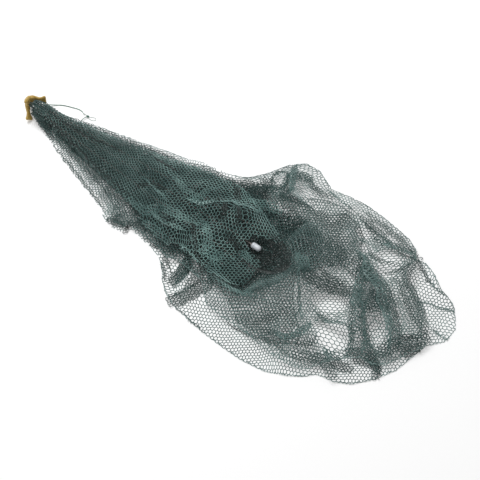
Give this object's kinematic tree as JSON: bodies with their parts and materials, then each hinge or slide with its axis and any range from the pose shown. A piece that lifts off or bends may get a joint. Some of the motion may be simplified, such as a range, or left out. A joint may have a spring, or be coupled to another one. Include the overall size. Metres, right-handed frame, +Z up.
{
  "type": "folded umbrella fish trap",
  "caption": "Folded umbrella fish trap lying down: a three-armed plastic hub, thin ribs and a gathered green net that spills into a loose bag.",
  "frame": {"origin": "on the surface the trap lies on, under the middle of its box", "axes": "+X along the trap from the hub to the end of the bag, +Z up"},
  "size_m": [0.7446, 0.3271, 0.0462],
  "materials": {
    "hub_plastic": "matt moulded plastic, golden yellow",
    "rib_socket": "dark pressed sleeve",
    "rib_rod": "drawn fibreglass rod, pinkish grey",
    "cap_plastic": "smooth white moulding",
    "netting": "knotless hexagonal netting, blue green",
    "netting_canopy": "knotless hexagonal netting, blue green, gathered",
    "twine": "thin twisted twine"
  },
  "bodies": {
    "root": {"hub": "hub_plastic", "rib_socket_1": "rib_socket", "rib_socket_2": "rib_socket", "rib_socket_3": "rib_socket", "rib_1": "rib_rod", "rib_2": "rib_rod", "rib_3": "rib_rod", "rib_cap": "cap_plastic", "net_bag": "netting", "net_canopy": "netting_canopy", "thread": "twine", "knot_tail": "twine", "knot_loop": "twine", "knot": "twine"}
  },
  "joints": []
}
